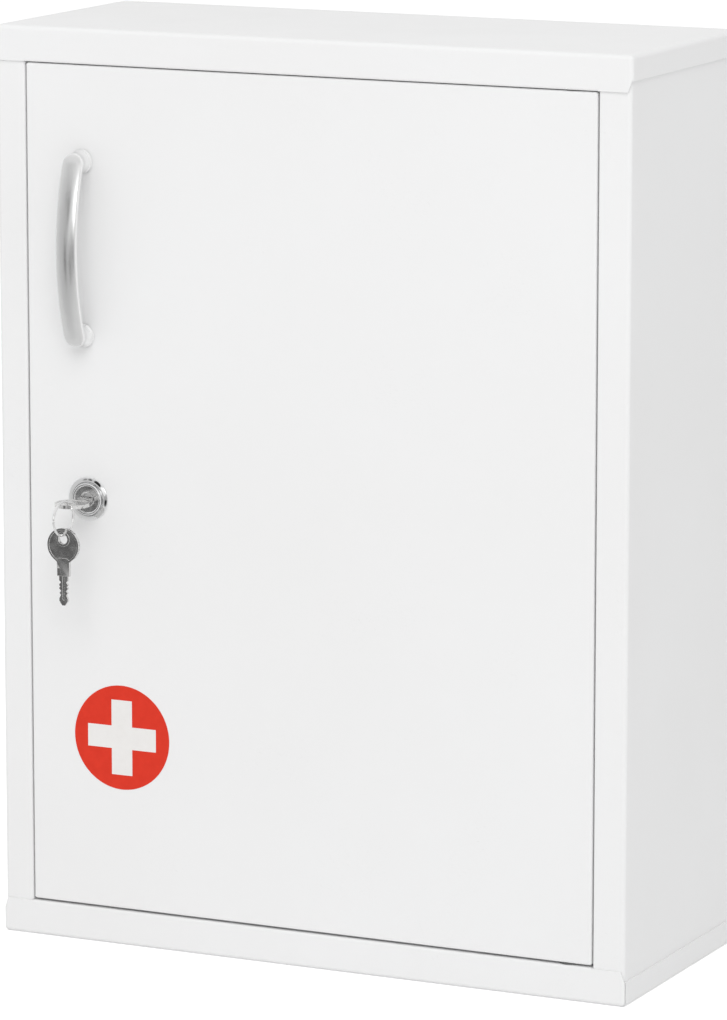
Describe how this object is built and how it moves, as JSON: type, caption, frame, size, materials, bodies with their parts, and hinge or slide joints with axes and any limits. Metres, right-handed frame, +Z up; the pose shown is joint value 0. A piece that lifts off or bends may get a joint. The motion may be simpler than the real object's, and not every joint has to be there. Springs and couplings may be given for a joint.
{
  "type": "lockable medicine cabinet",
  "caption": "Small white steel medicine cabinet with one inset lockable door, bow handle, cam lock with keys on a ring, and inside shelves; hangs on a wall or stands.",
  "frame": {"origin": "centre of the underside, midway between the sides and between the front and the wall face", "axes": "+Z up, +Y towards the wall, +X to the right as seen from the front; the door is at -Y"},
  "size_m": [0.3, 0.1505, 0.404],
  "materials": {
    "white_steel": "smooth white powder coat",
    "handle_satin": "satin chrome",
    "lock_chrome": "polished chrome",
    "key_nickel": "nickel plated",
    "zinc_steel": "bright zinc plated",
    "brass": "stamped brass",
    "nylon": "moulded grey nylon",
    "rubber_pad": "soft pale rubber"
  },
  "bodies": {
    "cabinet": {"left_side": "white_steel", "right_side": "white_steel", "back_panel": "white_steel", "top_cap": "white_steel", "bottom_cap": "white_steel", "lower_shelf": "white_steel", "upper_shelf": "white_steel", "lower_left_rail": "white_steel", "lower_right_rail": "white_steel", "upper_left_rail": "white_steel", "upper_right_rail": "white_steel", "door_bumpers": "rubber_pad", "lower_hinge_pin": "zinc_steel", "upper_hinge_pin": "zinc_steel"},
    "door": {"door_panel": "white_steel", "lower_hinge_bush": "nylon", "upper_hinge_bush": "nylon", "handle": "handle_satin", "handle_screws": "zinc_steel", "lock_housing": "lock_chrome", "lock_washer": "zinc_steel", "lock_nut": "zinc_steel"},
    "lock_core": {"lock_plug": "lock_chrome", "lock_wafers": "brass", "lock_cam": "zinc_steel", "cam_washer": "zinc_steel", "cam_screw": "zinc_steel"},
    "key": {"inserted_key": "key_nickel"},
    "ring": {"key_ring": "key_nickel"},
    "second_key": {"spare_key": "key_nickel"}
  },
  "joints": [
    {"name": "door_hinge", "type": "hinge", "parent": "cabinet", "child": "door", "pos_m": [0.1219, -0.0552, 0.202], "axis": [0, 0, 1], "range_deg": [0, 120]},
    {"name": "lock_turn", "type": "hinge", "parent": "door", "child": "lock_core", "pos_m": [-0.10575, -0.0592, 0.1987], "axis": [0, 1, 0], "range_deg": [0, 90]},
    {"name": "key_pull", "type": "slide", "parent": "lock_core", "child": "key", "axis": [0, -1, 0], "range_m": [0, 0.0135]},
    {"name": "ring_swing", "type": "hinge", "parent": "key", "child": "ring", "pos_m": [-0.10505, -0.077, 0.1987], "axis": [-0.9945, 0.1045, 0], "range_deg": [0, 60]},
    {"name": "spare_key_swing", "type": "hinge", "parent": "ring", "child": "second_key", "pos_m": [-0.10563, -0.08251, 0.18626], "axis": [-0.1045, -0.9945, 0], "range_deg": [-30, 30]}
  ]
}
